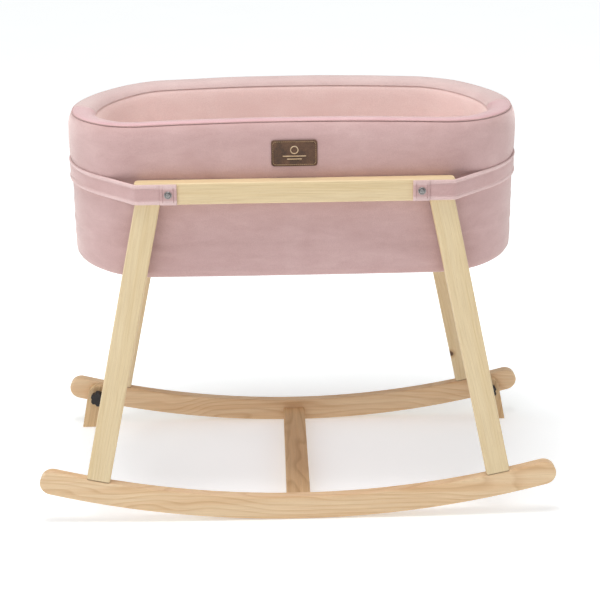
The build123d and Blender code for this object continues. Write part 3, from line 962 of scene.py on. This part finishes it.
def screw_head():
    """A countersunk head with a cross recess, its shank hidden in the wood."""
    head = lathed(
        "screw",
        (
            (0.0, -0.0280), (0.0008, -0.0265), (0.0019, -0.0235), (0.0019, 0.0002), (0.0036, 0.0012),
            (0.0041, 0.0017), (0.0040, 0.0022), (0.0034, 0.0027), (0.0020, 0.0031), (0.0, 0.0032),
        ),
        32,
    )
    for turn in (0, 90):
        select_none()
        bpy.ops.mesh.primitive_cube_add(size=1, location=(0, 0, 0.0031), rotation=(0, 0, radians(turn)))
        cutter = bpy.context.object
        cutter.scale = (0.0054, 0.0013, 0.0030)
        settle(cutter)
        cut = head.modifiers.new("recess", "BOOLEAN")
        cut.object = cutter
        cut.solver = "EXACT"
        apply_modifiers(head)
        bpy.data.objects.remove(cutter)
    clean(head, 1e-6, 30)
    return head


def at_each_screw(name, make):
    pieces = []
    for x in (-BELT_SCREW_X, BELT_SCREW_X):
        for y_side in (-1, 1):
            pieces.append(on_rail(make(), x, y_side))
    return joined(name, pieces)


cups = at_each_screw("belt_cup_washers_turned", cup_washer)
finish_piece(cups, "stand", "zinc_steel", zinc, "belt_cup_washers")
screws = at_each_screw("belt_screws_crossed", screw_head)
finish_piece(screws, "stand", "zinc_steel", zinc, "belt_screws")


# ---------------------------------------------------------------- label


def wall_y(x):
    """Where the cover's outer face lies at the front, over x."""
    share = 0.75 + x / (4 * QUARTER)
    at, out = outline(share)
    return (at + 0.0042 * out).y


LABEL_WIDTH, LABEL_HEIGHT, LABEL_CORNER = 0.078, 0.045, 0.005
LABEL_MIDDLE = 0.674


def label_edge(share, grow=0.0):
    """A point round the label's rounded edge, grown by this much."""
    half_w = LABEL_WIDTH / 2 + grow - LABEL_CORNER
    half_h = LABEL_HEIGHT / 2 + grow - LABEL_CORNER
    arc = pi / 2 * LABEL_CORNER
    spans = (2 * half_h, arc, 2 * half_w, arc, 2 * half_h, arc, 2 * half_w, arc)
    want = share % 1.0 * sum(spans)
    corners = ((1, 1), (-1, 1), (-1, -1), (1, -1))
    for k, span in enumerate(spans):
        if want <= span or k == 7:
            break
        want -= span
    quarter = k // 2
    cx, cz = corners[quarter][0] * half_w, corners[quarter][1] * half_h
    if k % 2:
        turn = pi / 2 * quarter + want / LABEL_CORNER
        return cx + LABEL_CORNER * cos(turn), cz + LABEL_CORNER * sin(turn)
    ends = ((half_w + LABEL_CORNER, -half_h, 0, 1), (half_w, half_h + LABEL_CORNER, -1, 0),
            (-half_w - LABEL_CORNER, half_h, 0, -1), (-half_w, -half_h - LABEL_CORNER, 1, 0))
    x0, z0, dx, dz = ends[quarter]
    return x0 + dx * want, z0 + dz * want


# From the middle of the face to its edge and round the back: share of size, and proud of the wall
label_section = (
    (0.0, 0.0021), (0.30, 0.0021), (0.60, 0.0021), (0.78, 0.0021), (0.845, 0.0020), (0.865, 0.0015),
    (0.885, 0.0020), (0.93, 0.0023), (0.965, 0.0023), (0.988, 0.0019), (1.0, 0.0012),
    (0.998, 0.0004), (0.97, 0.0001), (0.5, 0.0001), (0.0, 0.0001),
)


def label_place(u, v):
    size, proud = label_section[round(v * (len(label_section) - 1))]
    grow = -(1 - size) * LABEL_HEIGHT / 2 if size > 0.7 else -0.3 * LABEL_HEIGHT / 2
    x, z = label_edge(u, grow)
    if size <= 0.7:
        x, z = x * size / 0.7, z * size / 0.7
    return Vector((x, wall_y(x) - proud, LABEL_MIDDLE + z))


label = wrapped("label_patch_leatherette", 96, len(label_section) - 1, label_place, angle=40)
finish_piece(label, "basket", "leatherette", patch_look, "label_patch")

label_line = []
for k in range(260):
    x, z = label_edge(k / 260, -0.0029)
    lift = 0.0019 if k % 4 < 3 else 0.0012
    label_line.append(Vector((x, wall_y(x) - lift, LABEL_MIDDLE + z)))
label_stitches = tube("label_stitches", label_line, 0.00038, 5, closed=True)
finish_piece(label_stitches, "basket", "leatherette", light_thread)

# A plain mark of our own: a small ring over two bars
mark_pieces = []
ring = []
for k in range(48):
    turn = 2 * pi * k / 48
    x, z = 0.0062 * cos(turn), 0.0055 + 0.0062 * sin(turn)
    ring.append(Vector((x, wall_y(x) - 0.0021, LABEL_MIDDLE + z)))
mark_pieces.append(tube("mark_ring", ring, 0.0009, 8, closed=True))
for z, reach in ((-0.0050, 0.0205), (-0.0100, 0.0130)):
    bar = []
    for k in range(21):
        x = reach * (k / 10 - 1)
        bar.append(Vector((x, wall_y(x) - 0.0021, LABEL_MIDDLE + z)))
    mark_pieces.append(tube("mark_bar", bar, 0.0009, 8))
mark = joined("label_mark", mark_pieces)
finish_piece(mark, "basket", "leatherette", mark_look)


# ---------------------------------------------------------------- floor, light and camera

select_none()
bpy.ops.mesh.primitive_plane_add(size=18, location=(0, 0, -0.0004))
floor = bpy.context.object
floor.name = "studio_floor"
floor_look, tree, shader, place = start_material("studio_floor_painted", 0.75, Specular_IOR_Level=0.2)
mottled = noisy(tree, place, 3, 3, 0.5)
tree.links.new(shader.inputs["Base Color"], ramp(tree, mottled, ((0.3, "EDF2F3"), (0.7, "F0F5F6"))))
# Painted light: the floor glows, more strongly away from the object, so that it brightens to white away
# from the object and stays darker near it, as painted shade
away = add(tree, "ShaderNodeVectorMath", {"operation": "LENGTH"}, in0=place).outputs["Value"]
shader.inputs["Emission Color"].default_value = (1.0, 1.0, 1.0, 1.0)
tree.links.new(shader.inputs["Emission Strength"], spread(tree, away, 0.30, 1.2, 0.30, 0.60))
floor.data.materials.append(floor_look)

world = bpy.data.worlds.new("studio")
bpy.context.scene.world = world
world.use_nodes = True
sky = world.node_tree.nodes["Background"]
sky.inputs["Color"].default_value = (1.0, 1.0, 1.0, 1.0)
# White behind the object, and dimmer as light, so that the softboxes give the shapes
seen = add(world.node_tree, "ShaderNodeLightPath").outputs["Is Camera Ray"]
world.node_tree.links.new(sky.inputs["Strength"], spread(world.node_tree, seen, 0.0, 1.0, 0.42, 1.05))


LIGHTS_AIM = Vector((0, 0, 0.45))


def soft_light(name, place, size, power):
    data = bpy.data.lights.new(name, "AREA")
    data.shape = "RECTANGLE"
    data.size, data.size_y = size
    data.energy = power
    lamp = bpy.data.objects.new(name, data)
    bpy.context.scene.collection.objects.link(lamp)
    lamp.location = place
    lamp.rotation_euler = (Vector(place) - LIGHTS_AIM).to_track_quat("Z", "Y").to_euler()


soft_light("key_softbox", (-1.6, -2.4, 2.2), (1.6, 1.6), 14)
soft_light("top_softbox", (-0.2, -0.55, 3.0), (1.3, 1.0), 42)
soft_light("left_softbox", (-2.6, 0.5, 1.4), (1.4, 1.4), 12)
soft_light("right_softbox", (2.6, 0.2, 1.4), (1.4, 1.4), 8)

CAMERA_PLACE = Vector((-0.044, -2.706, 1.252))
CAMERA_PITCH = 0.3256
CAMERA_YAW = 0.0203
CAMERA_ROLL = -0.0125
data = bpy.data.cameras.new("studio_camera")
data.sensor_width = 36.0
data.lens = 90.5
camera = bpy.data.objects.new("studio_camera", data)
bpy.context.scene.collection.objects.link(camera)
forward = Vector((CAMERA_YAW * cos(CAMERA_PITCH), cos(CAMERA_PITCH), -sin(CAMERA_PITCH))).normalized()
right = forward.cross(Vector((0, 0, 1))).normalized()
up = right.cross(forward)
tilted = cos(CAMERA_ROLL) * right + sin(CAMERA_ROLL) * up
lifted = tilted.cross(forward)
turn = Matrix((tilted, lifted, -forward)).transposed().to_4x4()
camera.matrix_world = Matrix.Translation(CAMERA_PLACE) @ turn
bpy.context.scene.camera = camera
bpy.context.scene.view_settings.view_transform = "Standard"
